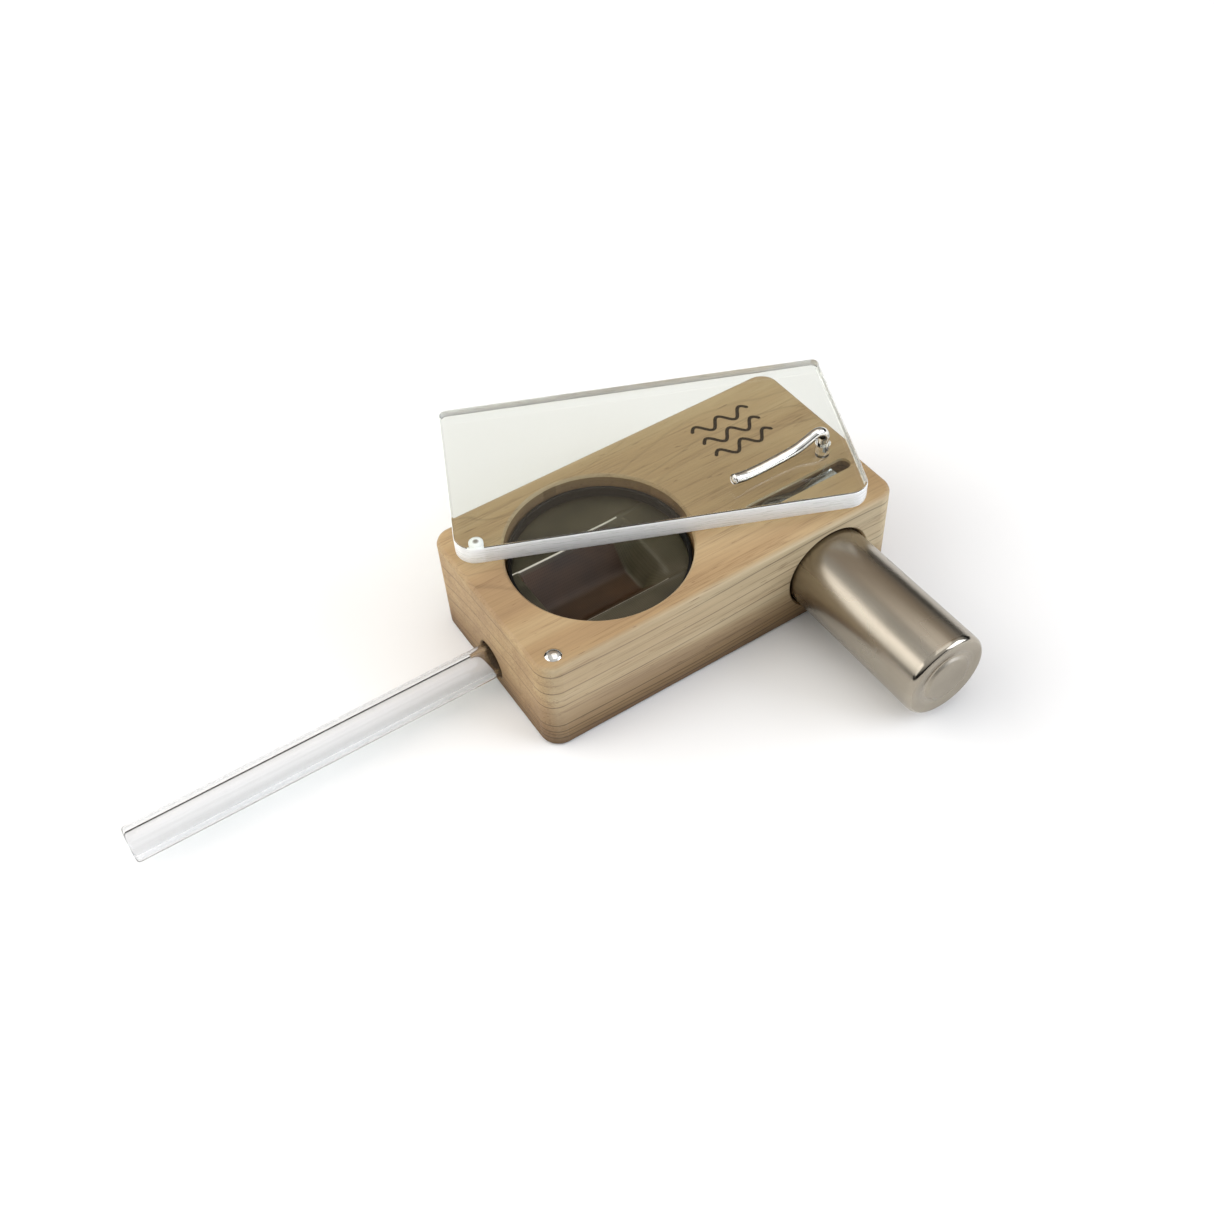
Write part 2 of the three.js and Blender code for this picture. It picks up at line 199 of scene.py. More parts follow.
# %% A grid of points as a mesh
def surface(name, points_mm, body, material, wrap_across=True, outward=True):
    """A mesh from a grid of points, one row for each step along and one column for each step
    across. A wrapped grid joins its last column to its first."""
    rows, columns = points_mm.shape[:2]
    index = np.arange(rows * columns).reshape(rows, columns)
    across = np.roll(index, -1, axis=1) if wrap_across else index[:, 1:]
    near = index if wrap_across else index[:, :-1]
    faces = np.stack([near[:-1], across[:-1], across[1:], near[1:]], axis=-1).reshape(-1, 4)
    mesh = bpy.data.meshes.new(name)
    mesh.from_pydata((points_mm.reshape(-1, 3) * MM).tolist(), [], faces.tolist())
    finished = bmesh.new()
    finished.from_mesh(mesh)
    bmesh.ops.remove_doubles(finished, verts=finished.verts, dist=1e-7)
    if outward:
        bmesh.ops.recalc_face_normals(finished, faces=finished.faces)
    finished.to_mesh(mesh)
    finished.free()
    mesh.shade_smooth()
    piece = bpy.data.objects.new(name, mesh)
    bpy.context.collection.objects.link(piece)
    piece.data.materials.append(material)
    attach(piece, body)
    print(name, len(mesh.polygons), "faces")
    return piece


# %% [markdown]
# ### Turned shapes
# A lathe leaves a shape that one profile describes: how far from the axis, and how high. The
# profile is put together from single points and arcs, so every corner can have its true round.

# %% Profiles and turning
def turned(profile, centre, axis, around):
    """Points of a turned shape: each (radius, height) pair is swept round the axis through centre."""
    profile = np.array(profile)
    angle = np.linspace(0, 2 * np.pi, around, endpoint=False)
    radius, height = profile[:, :1], profile[:, 1:]
    first, second = (axis + 1) % 3, (axis + 2) % 3
    points = np.zeros((len(profile), around, 3))
    points[..., first] = centre[first] + radius * np.cos(angle)
    points[..., second] = centre[second] + radius * np.sin(angle)
    points[..., axis] = centre[axis] + height
    return points


def arc(centre, radius, start, end, steps):
    """Points on a circle in the profile's plane, from one angle to another in degrees."""
    angle = np.radians(np.linspace(start, end, steps + 1))
    return np.stack([centre[0] + radius * np.cos(angle), centre[1] + radius * np.sin(angle)], axis=1)


def outline(*stretches):
    """Joins single points and arcs into one profile."""
    return np.concatenate([np.atleast_2d(np.array(stretch, dtype=float)) for stretch in stretches])


# %% [markdown]
# ### Bent shapes
# Wire and strip keep one section along a bent line. A Catmull-Rom line passes through every point
# that it is given, which makes a bend easy to place, and spacing it by the root of the distance
# keeps tight bends from overshooting.

# %% Smooth lines and sweeping
def smooth_line(points, steps):
    """A Catmull-Rom line through points, spaced by the square root of their distance."""
    points = np.array(points, dtype=float)
    padded = np.vstack([2 * points[0] - points[1], points, 2 * points[-1] - points[-2]])
    knots = np.concatenate([[0], np.cumsum(np.sqrt(np.linalg.norm(np.diff(padded, axis=0), axis=1)))])
    t = np.linspace(knots[1], knots[-2], steps)
    cell = np.clip(np.searchsorted(knots, t, side="right") - 1, 1, len(points) - 1)
    p = [padded[cell + step] for step in (-1, 0, 1, 2)]
    k = [knots[cell + step][:, None] for step in (-1, 0, 1, 2)]
    t = t[:, None]

    def between(a, b, low, high):
        """The weighted mean of two points, for a knot value t between theirs."""
        return (high - t) / (high - low) * a + (t - low) / (high - low) * b

    a = [between(p[i], p[i + 1], k[i], k[i + 1]) for i in range(3)]
    b = [between(a[0], a[1], k[0], k[2]), between(a[1], a[2], k[1], k[3])]
    return between(b[0], b[1], k[1], k[2])


DOME_ROWS = 7


def swept(path, section, round_ends):
    """Carries a flat section (side, lift) along a path that lies in a plane of constant Y. Side
    runs along Y and lift runs square to the path. Over the length round_ends, in millimetres, the
    section shrinks to a dome: its size is the cosine of an angle whose sine is the way out."""
    along = np.gradient(path, axis=0)
    along /= np.linalg.norm(along, axis=1)[:, None]
    fade = np.radians(np.linspace(90, 0, DOME_ROWS))[:, None]
    head = path[0] - along[0] * round_ends * (np.sin(fade) - 1)
    tail = path[-1] + along[-1] * round_ends * (np.sin(fade[::-1]) - 1)
    first, last = np.repeat(along[:1], DOME_ROWS, 0), np.repeat(along[-1:], DOME_ROWS, 0)
    size = np.concatenate([np.cos(fade[:, 0]), np.ones(len(path) - 2), np.cos(fade[::-1, 0])])
    path = np.vstack([head, path[1:-1], tail])
    along = np.vstack([first, along[1:-1], last])
    side = np.array([0.0, 1.0, 0.0])
    lift = np.cross(along, side)
    section = np.array(section)
    return (path[:, None] + size[:, None, None] * (
        section[None, :, :1] * side + section[None, :, 1:] * lift[:, None]))


# %% [markdown]
# ### Shapes that are right already
# The block and the lid are flat boards with bores and pockets, and the frame has them exactly. A
# copy of the frame's mesh only needs its loose triangles joined and its round edges shaded smooth.
# Flat faces keep their own normal, because a clear lid with bent normals would bend what is behind.

# %% A smooth copy of a frame node
def smooth_copy(node, name, body, materials, angle=32):
    """The frame's own shape as a new piece: its loose triangles are joined and edges flatter than
    angle are shaded smooth, but faces square to an axis keep their own normal, so flats stay flat."""
    joined = bmesh.new()
    joined.from_mesh(frame["nodes"][node].data)
    bmesh.ops.remove_doubles(joined, verts=joined.verts, dist=1e-7)
    mesh = bpy.data.meshes.new(name)
    joined.to_mesh(mesh)
    joined.free()
    mesh.materials.clear()
    for material in materials:
        mesh.materials.append(material)
    mesh.polygons.foreach_set("material_index", np.zeros(len(mesh.polygons), dtype=np.int32))
    mesh.shade_smooth()
    normals = np.empty(len(mesh.polygons) * 3)
    mesh.polygons.foreach_get("normal", normals)
    mesh.set_sharp_from_angle(angle=math.radians(angle))
    flat = np.abs(normals.reshape(-1, 3)).max(axis=1) > 0.999
    sharp_face = mesh.attributes.get("sharp_face") or mesh.attributes.new("sharp_face", "BOOLEAN", "FACE")
    sharp_face.data.foreach_set("value", flat)
    mesh.update()
    piece = bpy.data.objects.new(name, mesh)
    bpy.context.collection.objects.link(piece)
    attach(piece, body)
    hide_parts(node)
    print(name, len(flat), "faces,", int(flat.sum()), "of them flat")
    return piece


# %% [markdown]
# ## Studio floor
# The object stands on a wide pale sheet. A matt paint throws soft light back up at the sides of
# the block, which is why it is a real surface and not just a white background.

# %% Painted floor
def floor_paint():
    """Matt white studio paint: a breath of unevenness keeps it from looking like a void."""
    material, add, shader = new_material("studio_paint_matt")
    spots = add("TexNoise", {"Vector": millimetres(add), "Scale": 0.01, "Detail": 2})
    feed(shader, {
        "Base Color": add("ValToRGB", (spots,), ((0.3, "#f1f1f0"), (0.7, "#f4f4f3"))),
        "Roughness": 0.9, "Specular IOR Level": 0.1,
    })
    return material


HALF_FLOOR = 3.0
floor_mesh = bpy.data.meshes.new("floor")
floor_corners = [(HALF_FLOOR * x, HALF_FLOOR * y, 0) for x, y in ((-1, -1), (1, -1), (1, 1), (-1, 1))]
floor_mesh.from_pydata(floor_corners, [], [(0, 1, 2, 3)])
floor = bpy.data.objects.new("floor", floor_mesh)
floor.data.materials.append(floor_paint())
bpy.context.collection.objects.link(floor)

# %% [markdown]
# ## Softboxes
# A wide key light from the back left gives the soft shadow in front of the box. It is hidden from
# reflections, and a narrower box beside it draws the one bright band along the metal cell. The
# other three lift the top, the long front and the left end.

# %% Lamps
def area_lamp(name, size, power, place, colour="#ffffff"):
    """A rectangular softbox, in metres and watts, turned to face the middle of the object."""
    data = bpy.data.lights.new(name, "AREA")
    data.shape = "RECTANGLE"
    data.size, data.size_y = size
    data.energy = power
    data.color = linear(colour)[:3]
    lamp = bpy.data.objects.new(name, data)
    facing = (Vector((-0.01, 0.0, 0.01)) - Vector(place)).to_track_quat("-Z", "Y")
    lamp.matrix_world = Matrix.Translation(place) @ facing.to_matrix().to_4x4()
    bpy.context.collection.objects.link(lamp)
    return lamp


key = area_lamp("key_softbox", (0.95, 0.78), 3.6, (-0.50, 0.42, 0.47), "#fffaf4")
key.visible_glossy = False
area_lamp("band_softbox", (0.42, 0.50), 1.15, (-0.56, 0.46, 0.33), "#fffcf8")
area_lamp("top_softbox", (1.20, 0.95), 2.9, (0.25, -0.05, 1.15))
area_lamp("front_softbox", (0.55, 0.45), 3.6, (0.52, -0.48, 0.34), "#ecf2ff")
area_lamp("left_softbox", (0.40, 0.40), 0.8, (-0.62, 0.08, 0.34))

# %% [markdown]
# ## Surroundings
# Glass and metal in a uniformly white room have no outline, so the room is bright above and dark at
# the horizon, and a warm grey flag hangs behind the box where the lid's top would mirror the sky.
# The camera itself sees a plain pale backdrop.

# %% World
FLAG = (0.37, 0.65, 0.66)
world = bpy.data.worlds.new("studio")
bpy.context.scene.world = world
world.use_nodes = True
add = partial(add_node, world.node_tree)
direction = add("TexCoord", out="Generated")
height = add("SeparateXYZ", (direction,), out="Z")
brightening = ((0.0, 0.02), (0.26, 0.04), (0.40, 0.55), (0.65, 0.90), (1.0, 1.0))
glow = add("ValToRGB", (height,), brightening)
flag_side = add("VectorMath", (direction, FLAG), "DOT_PRODUCT", out="Value")
flag = add("ValToRGB", (flag_side,), ((0.74, 1.0), (0.90, "#ccbcaa")))
flagged = add("Mix", {0: 1.0, 6: glow, 7: flag}, **DARKEN)
seen = add("LightPath", out="Is Camera Ray")
backdrop = add("Mix", {0: seen, 6: flagged, 7: "#f4f4f3"}, **BLEND)
feed(world.node_tree.nodes["Background"], {"Color": backdrop, "Strength": 0.75})

bpy.context.scene.view_settings.view_transform = "Standard"
bpy.context.scene.view_settings.look = "None"
bpy.context.scene.view_settings.exposure = 0.0

# %% [markdown]
# ## Hard maple: growth rings
# Maple is pale and close-grained. Its growth rings are thin dark lines: on the sides they run
# along the block, on the end grain they are shallow arcs, and on the top they fan out as long
# streaks. A real block is cut from a log, so the rings are made as cylinders about a pith line well
# below the block, bent by slow noise. Wood made that way agrees with itself at every corner.

# %% Rings about a pith line
PITH_Y, PITH_Z = -11.0, -105.0
LOW_RINGS = ((1.2, 1.0), (2.05, 0.7), (2.75, 1.0), (4.15, 0.9), (7.1, 0.35), (8.55, 1.0), (9.8, 0.3))
HIGH_RINGS = ((11.6, 0.9), (13.3, 0.35), (15.2, 0.95), (17.5, 0.5), (17.95, 0.5), (18.7, 0.4), (19.6, 0.45))
RING_SPAN = 10.6
LINE_SHAPE = ((-1.0, 0.0), (-0.25, 0.5), (0.0, 1.0), (0.3, 0.0))  # place in line widths, darkness
SIDE_LINE, TOP_LINE = 0.26, 0.07  # line widths in millimetres
TANGENT_LEVEL = 16.5  # above this the rings meet the top at a glancing angle, which widens them


def ring_lines(add, height, start, rings):
    """One ramp over RING_SPAN millimetres of height, with a line at each (height, darkness): it
    darkens slowly through the summer and stops short at the winter."""
    stops = [(0.0, 0.0)]
    for level, dark in rings:
        width = SIDE_LINE if level < TANGENT_LEVEL else TOP_LINE
        stops += [((level - start + step * width) / RING_SPAN, dark * share) for step, share in LINE_SHAPE]
    above = add("Math", (height, start), "SUBTRACT")
    along = add("Math", (above, RING_SPAN), "DIVIDE")
    return add("ValToRGB", (along,), stops)


def growth_rings(add, place):
    """How dark each point's ring is. Its height is its distance from the pith line, the root of the
    squared steps across and down, plus a cosine along X and slow noise for a crooked trunk."""
    across = add("Math", (place["Y"], PITH_Y), "SUBTRACT")
    down = add("Math", (place["Z"], PITH_Z), "SUBTRACT")
    squared = add("Math", (across, across), "MULTIPLY")
    squared = add("Math", (down, down, squared), "MULTIPLY_ADD")
    radius = add("Math", (squared,), "SQRT")
    phase = add("Math", (place["X"], 0.105, 1.47), "MULTIPLY_ADD")
    sway = add("Math", (phase,), "COSINE")
    sway = add("Math", (sway, 0.55, PITH_Z - 0.6), "MULTIPLY_ADD")
    slow = add("TexNoise", {"Vector": millimetres(add, (0.035, 0.11, 0.11)), "Scale": 1, "Detail": 2})
    bend = add("Math", (slow, 1.3, -0.65), "MULTIPLY_ADD")
    height = add("Math", (radius, add("Math", (sway, bend), "ADD")), "ADD")
    low, high = ring_lines(add, height, 0.0, LOW_RINGS), ring_lines(add, height, RING_SPAN, HIGH_RINGS)
    lines = add("Math", (low, high), "MAXIMUM")
    patches = millimetres(add, (0.05, 0.16, 0.16), shift=(2, 7, 3))
    faint = add("TexNoise", {"Vector": patches, "Scale": 1, "Detail": 3})
    faint = add("ValToRGB", (faint,), ((0.36, 0.55), (0.5, 1.0)))
    return add("Math", (lines, faint), "MULTIPLY")


# %% [markdown]
# ## Hard maple: fibre, flecks and end grain
# Between the rings, fine fibre and short flecks run with the trunk, so they are noise stretched
# along X. The end grain is cut across, drinks more oil and shows its pores. The top faces are tinted
# warmer and darker as painted light for how they are lit, and the foot of the sides has painted shade.

# %% The colour of sanded maple
def maple_ground(add, place, fibre, ring):
    """The pale ground of the wood with its bands, fibre, rings, flecks and end grain, a painted light tint
    on the top faces, and painted shade at the foot.
    """
    bands = millimetres(add, (0.016, 0.16, 0.16), shift=(3, 5, 1))
    band = add("TexNoise", {"Vector": bands, "Scale": 1, "Detail": 3})
    ground = add("ValToRGB", (band,), ((0.30, "#af9878"), (0.48, "#bba582"), (0.68, "#c8b795")))
    shade = add("ValToRGB", (fibre,), ((0.25, 0.84), (0.55, 1.0), (0.8, 1.08)))
    ground = add("Mix", {0: 1.0, 6: ground, 7: shade}, **DARKEN)
    # hair-thin streaks a few centimetres long
    streaks = millimetres(add, (0.022, 0.75, 0.75), turn=(0, 0.01, 0.03))
    streak = add("TexNoise", {"Vector": streaks, "Scale": 1, "Detail": 4, "Roughness": 0.65})
    hairs = ((0.0, 0.0), (0.565, 0.0), (0.60, 0.45), (0.625, 0.0), (1.0, 0.0))
    thin = add("ValToRGB", (streak,), hairs)
    ground = add("Mix", {0: thin, 6: ground, 7: "#7f644a"}, **BLEND)
    dark = add("Math", (ring, 0.9), "MULTIPLY")
    ground = add("Mix", {0: dark, 6: ground, 7: "#38271a"}, **BLEND)
    # flecks: dashes about a millimetre long where rays are cut across
    dashes = millimetres(add, (0.40, 3.6, 3.6), shift=(9, 2, 4))
    dash = add("TexNoise", {"Vector": dashes, "Scale": 1, "Detail": 1})
    fleck = add("ValToRGB", (dash,), ((0.0, 0.0), (0.715, 0.0), (0.77, 0.6)))
    ground = add("Mix", {0: fleck, 6: ground, 7: "#694c36"}, **BLEND)
    # end grain drinks more oil and shows open pores
    facing = add("SeparateXYZ", (add("TexCoord", out="Normal"),)).node.outputs
    endwise = add("Math", (facing["X"],), "ABSOLUTE")
    end_grain = add("ValToRGB", (endwise,), ((0.45, 0.0), (0.85, 0.9)))
    pores = add("TexNoise", {"Vector": millimetres(add, (1.0, 5.0, 5.0)), "Scale": 1, "Detail": 3})
    pores = add("ValToRGB", (pores,), ((0.35, "#e4d5c0"), (0.6, "#f4e9d9")))
    soaked = add("Mix", {0: 1.0, 6: ground, 7: pores}, **DARKEN)
    ground = add("Mix", {0: end_grain, 6: ground, 7: soaked}, **BLEND)
    # painted light: the top faces are tinted warmer and darker for how they are lit; painted shade darkens
    # the foot
    faces_up_share = add("ValToRGB", (facing["Z"],), ((0.5, 0.0), (0.9, 1.0)))
    painted_top_tint = add("Mix", {0: 1.0, 6: ground, 7: "#e9dccd"}, **DARKEN)
    ground = add("Mix", {0: faces_up_share, 6: ground, 7: painted_top_tint}, **BLEND)
    # painted shade: the sides grow darker towards the bottom, where less light reaches them
    up_side = add("Math", (place["Z"], float(block_high[2])), "DIVIDE")
    foot_shade = add("ValToRGB", (up_side,), ((0.0, "#84735e"), (0.16, "#c0b19d"), (0.50, "#ffffff")))
    return add("Mix", {0: 1.0, 6: ground, 7: foot_shade}, **DARKEN)


# %% [markdown]
# ## Hard maple: bored walls and the finished block
# The walls of the bores and pockets are darkened with painted shade, as shade gathers inside them.
# A point belongs to such a wall when it lies deeper than a hair inside every outer face, so five
# simple comparisons find the bores and pockets without a mask being painted.

# %% The block
def inside_block(add, place):
    """One inside the block's outer faces and its round upright corners, and nought on them."""
    wide, deep, top = (float(value) for value in block_high)
    reach_x, reach_y = (add("Math", (place[axis],), "ABSOLUTE") for axis in "XY")
    off_corner = add("Math", (reach_x, reach_y), "ADD")
    tests = (
        (place["Z"], "LESS_THAN", top - 0.5), (place["Z"], "GREATER_THAN", 0.3),
        (reach_x, "LESS_THAN", wide - 0.4), (reach_y, "LESS_THAN", deep - 0.4),
        (off_corner, "LESS_THAN", wide + deep - 2.5),
    )
    inside = 1.0
    for value, operation, limit in tests:
        passed = add("Math", (value, limit), operation)
        inside = add("Math", (inside, passed), "MULTIPLY")
    return inside


def maple():
    """Hard maple, planed, sanded and oiled: a low sheen that the fibre breaks up."""
    material, add, shader = new_material("hard_maple_sanded_and_oiled")
    place = add("SeparateXYZ", (millimetres(add),)).node.outputs
    fibres = millimetres(add, (0.14, 4.0, 4.0))
    fibre = add("TexNoise", {"Vector": fibres, "Scale": 1, "Detail": 5, "Roughness": 0.7})
    ring = growth_rings(add, place)
    ground = maple_ground(add, place, fibre, ring)
    # painted shade: the walls inside the bores and pockets are darkened
    recess_shade = add("Mix", {0: 1.0, 6: ground, 7: "#a89a8b"}, **DARKEN)
    sunk = add("Math", (ring, 0.5), "MULTIPLY")
    grooves = add("Math", (fibre, sunk), "SUBTRACT")
    feed(shader, {
        "Base Color": add("Mix", {0: inside_block(add, place), 6: ground, 7: recess_shade}, **BLEND),
        "Roughness": add("ValToRGB", (fibre,), ((0.3, 0.62), (0.7, 0.48))),
        "Specular IOR Level": 0.35,
        "Normal": add("Bump", {"Height": grooves, "Distance": 0.03 * MM, "Strength": 0.6}),
    })
    return material


block = smooth_copy("body_block", "maple_block", "box", [maple()])

# %% [markdown]
# ## A burnt ornament
# Such boxes carry a small mark burnt into the top by a laser. Here it is three plain waves, which
# stand for no maker. A burnt line is a shallow trough, but a ribbon a hair above the wood with
# charcoal colour reads the same and leaves the block whole.

# %% Charred wood and the waves
def mottled(name, dark, pale, gloss, patch_mm, relief=None, **constants):
    """A stock without grain: fine cloudy patches in its colour and gloss, given as pairs, and in its
    relief, given as a height in millimetres and a strength."""
    material, add, shader = new_material(name)
    patches = millimetres(add, (1 / patch_mm,) * 3)
    mottle = add("TexNoise", {"Vector": patches, "Scale": 1, "Detail": 4})
    feed(shader, {
        "Base Color": add("ValToRGB", (mottle,), ((0.3, dark), (0.7, pale))),
        "Roughness": add("ValToRGB", (mottle,), ((0.3, gloss[0]), (0.7, gloss[1]))), **constants,
    })
    if relief:
        tall, strength = relief
        bump = add("Bump", {"Height": mottle, "Distance": tall * MM, "Strength": strength})
        feed(shader, {"Normal": bump})
    return material


# wood charred by a laser: nearly black, dead matt and slightly crusted
char = mottled("maple_laser_charred", "#160e08", "#2a1b11", (0.9, 0.9), 1 / 3, (0.05, 0.8),
               **{"Specular IOR Level": 0.1})
BURN_WIDTH, BURN_LIFT = 0.58, 0.012


def burnt_ribbon(name, line):
    """A flat ribbon whose middle follows line and whose ends are round: half width times the root
    of one minus the squared distance past each end."""
    along = np.gradient(line, axis=0)
    side = np.stack([-along[:, 1], along[:, 0]], axis=1) / np.linalg.norm(along, axis=1)[:, None]
    travelled = np.concatenate([[0], np.cumsum(np.linalg.norm(np.diff(line, axis=0), axis=1))])
    edge = np.minimum(travelled, travelled[-1] - travelled) / (BURN_WIDTH / 2)
    half_width = BURN_WIDTH / 2 * np.sqrt(np.clip(1 - np.clip(1 - edge, 0, 1) ** 2, 0.01, 1))
    across = np.linspace(-1, 1, 5)
    flat = line[:, None] + side[:, None] * half_width[:, None, None] * across[None, :, None]
    top = block_high[2] + BURN_LIFT
    points = np.concatenate([flat, np.full(flat.shape[:2] + (1,), top)], axis=2)
    piece = surface(name, points[:, ::-1], "box", char, wrap_across=False, outward=False)


WAVES, WAVE_HALF = 2.5, 1.05
mark_x = np.linspace(12.6, 23.4, 121)
swing = WAVE_HALF * np.sin(np.linspace(0, 2 * np.pi * WAVES, len(mark_x)))
for row, base_y in enumerate((4.2, 7.4, 10.6)):
    wave = base_y + swing
    burnt_ribbon(f"burnt_wave_{row + 1}", np.stack([mark_x, wave], axis=1))

# %% [markdown]
# ## Acrylic: clear and frosted
# The lid is sawn from 3 mm cast acrylic. Its two faces are as clear as glass, and its edges keep the
# mark of their tools, which scatters light and looks white. One function makes every rough finish:
# it only needs to know how much of the light still passes.

# %% Clear and frosted acrylic
ACRYLIC_IOR = 1.49


def clear_stock(name, colour, ior, scale, detail, smears, tint):
    """Glass or polished acrylic: nearly invisible, with smears that dull its mirror in patches."""
    material, add, shader = new_material(name)
    smear = add("TexNoise", {"Vector": millimetres(add, scale), "Scale": 1, "Detail": detail})
    feed(shader, {
        "Base Color": colour, "IOR": ior, "Transmission Weight": 1.0,
        "Roughness": add("ValToRGB", (smear,), smears),
    })
    lets_lamps_through(add, shader, tint)
    return material


def acrylic_frosted(name, through, drill_tip=None):
    """Acrylic roughened by a tool: a white glow with drag lines. The share called through is still
    clear, and at the tip of a drill, given by its place, a grey spot of painted shade is laid."""
    material, add, shader = new_material(name)
    drag = add("TexNoise", {"Vector": millimetres(add, (0.3, 0.3, 7.0)), "Scale": 1, "Detail": 3})
    colour = add("ValToRGB", (drag,), ((0.3, "#f6f8f3"), (0.7, "#ffffff")))
    if drill_tip is not None:
        place = add("SeparateXYZ", (millimetres(add),)).node.outputs
        away_x, away_y = (
            add("Math", (place[axis], float(value)), "SUBTRACT")
            for axis, value in zip("XY", drill_tip)
        )
        squared = add("Math", (away_x, away_x), "MULTIPLY")
        squared = add("Math", (away_y, away_y, squared), "MULTIPLY_ADD")
        # painted shade: a grey spot at the deepest point of the drilled pocket
        tip_shade = add("ValToRGB", (squared,), ((0.06, 1.0), (0.30, 0.0)))
        colour = add("Mix", {0: tip_shade, 6: colour, 7: "#8f897f"}, **BLEND)
    feed(shader, {
        "Base Color": colour, "IOR": ACRYLIC_IOR, "Transmission Weight": through,
        "Roughness": add("ValToRGB", (drag,), ((0.3, 0.22), (0.7, 0.38))),
        "Normal": add("Bump", {"Height": drag, "Distance": 0.02 * MM, "Strength": 0.4}),
    })
    lets_lamps_through(add, shader, "#e4e6e2")
    return material


# %% [markdown]
# ## The lid's four finishes
# The long front edge and the left end are sawn white, the other two edges are scraped and stay half
# clear, and the pocket that the stud clicks into is drilled. The frame holds the lid swung open, so
# normals are turned to the closed position first, where each edge faces along an axis. Then a level
# normal says edge, and a short distance from the drill's axis says pocket.

# %% The lid
CLEAR, SAWN, DRILLED, SCRAPED = range(4)
stud_xy = (stud_low[:2] + stud_high[:2]) / 2
closing = np.array(Matrix.Rotation(closed_turn, 3, "Z"))
tip_xy = (closing.T[:2, :2] @ (stud_xy - pivot[:2])) + pivot[:2]
lid_stock = [
    clear_stock("cast_acrylic_polished", "#ecefeb", ACRYLIC_IOR, (0.08, 0.3, 0.3), 3,
                ((0.4, 0.0), (0.8, 0.02)), "#f4f7f5"),
    acrylic_frosted("cast_acrylic_sawn_edge", 0.12),
    acrylic_frosted("cast_acrylic_drilled", 0.0, tip_xy),
    acrylic_frosted("cast_acrylic_scraped_edge", 0.65),
]
lid = smooth_copy("lid", "acrylic_lid", "lid", lid_stock, angle=40)
faces = lid.data.polygons
lid_normals, lid_centres = np.empty(len(faces) * 3), np.empty(len(faces) * 3)
faces.foreach_get("normal", lid_normals)
faces.foreach_get("center", lid_centres)
facing, centres = lid_normals.reshape(-1, 3), lid_centres.reshape(-1, 3) / MM
closed_facing = facing @ closing.T
rear_side = closed_facing[:, 1] > 0.35
far_side = rear_side | ((closed_facing[:, 0] > 0.35) & (closed_facing[:, 1] > -0.35))
upright_face = np.abs(facing[:, 2]) < np.where(rear_side, 0.3, np.where(far_side, 0.95, 0.5))
inner_face = (centres[:, 2] > lid_low[2] + 0.05) & (centres[:, 2] < lid_high[2] - 0.4)
drilled = inner_face & (np.hypot(*(centres[:, :2] - tip_xy).T) < 1.3)
pivot_hole = np.hypot(*(centres[:, :2] - pivot[:2]).T) < 1.5
edge_finish = np.where(far_side, SCRAPED, SAWN)
finish_of = np.where(drilled, DRILLED, np.where(upright_face & ~pivot_hole, edge_finish, CLEAR))
faces.foreach_set("material_index", finish_of.astype(np.int32))
print("lid faces clear, sawn, drilled and scraped:", np.bincount(finish_of))

# %% [markdown]
# ## Bright steel
# Drawn wire and turned pins are polished by their making, so they mirror the softboxes. Where they
# look down they are darkened with painted shade, and that is what gives a thin bright wire its outline.

# %% Polished stainless steel and plate
def polished_steel(name, pale, grey, roughness, underside=1.0):
    """Bright metal: a near mirror that a thin haze softens. Underside is the share of the shine
    that is left where the surface looks down, where painted shade darkens it."""
    material, add, shader = new_material(name)
    haze = add("TexNoise", {"Vector": millimetres(add, (0.8, 0.8, 0.8)), "Scale": 1, "Detail": 4})
    looks_up = add("SeparateXYZ", (add("TexCoord", out="Normal"),), out="Z")
    lifted = add("Math", (looks_up, 0.5), "ADD")
    # painted shade: the metal is darkened where its surface looks down
    underside_shade = add("ValToRGB", (lifted,), ((0.30, underside), (0.44, 1.0)))
    metal = add("ValToRGB", (haze,), ((0.35, grey), (0.65, pale)))
    gloss = ((0.3, roughness * 0.6), (0.7, roughness * 1.5))
    feed(shader, {
        "Base Color": add("Mix", {0: 1.0, 6: metal, 7: underside_shade}, **DARKEN),
        "Roughness": add("ValToRGB", (haze,), gloss),
        "Metallic": 1.0,
        "Normal": add("Bump", {"Height": haze, "Distance": 0.004 * MM, "Strength": 0.3}),
    })
    return material


bright_wire = polished_steel("stainless_steel_drawn_bright", "#f3f2ee", "#dcdad4", 0.09, underside=0.05)
bright_stud = polished_steel("stainless_steel_turned_bright", "#ebe9e3", "#cfccc4", 0.08, underside=0.1)
bright_plate = polished_steel("nickel_plate_bright", "#ebe9e3", "#cfccc4", 0.10)

# %% [markdown]
# ## Spring wire
# One wire stands in the block, passes up through the lid, turns over in a tight hump and lies along
# the lid as its spring. It is a circle carried along a smooth line, and its ends shrink to domes
# where the cut was dressed.

# %% The wire
wire_radius = (wire_high[1] - wire_low[1]) / 2
hump = wire_high[2] - wire_radius - 0.02
lid_top = lid_high[2]
rest = lid_top + wire_radius + 0.32
pivot_x, pivot_y = pivot[0], pivot[1]
wire_bends = (  # along X, height
    (pivot_x, wire_low[2]), (pivot_x, 16), (pivot_x, 19), (pivot_x, lid_top),
    (pivot_x + 0.15, hump - 1.4), (pivot_x - 0.3, hump - 0.45), (pivot_x - 1.4, hump),
    (pivot_x - 3.0, hump - 0.5), (21.0, rest + 0.38), (17.2, rest + 0.05),
    (13.4, rest), (11.0, rest + 0.12), (wire_low[0] + 0.3, rest + 0.55),
)
wire_route = smooth_line([(along, pivot_y, high) for along, high in wire_bends], 160)
around = np.linspace(0, 2 * np.pi, 28, endpoint=False)
circle = wire_radius * np.stack([np.cos(around), np.sin(around)], axis=1)
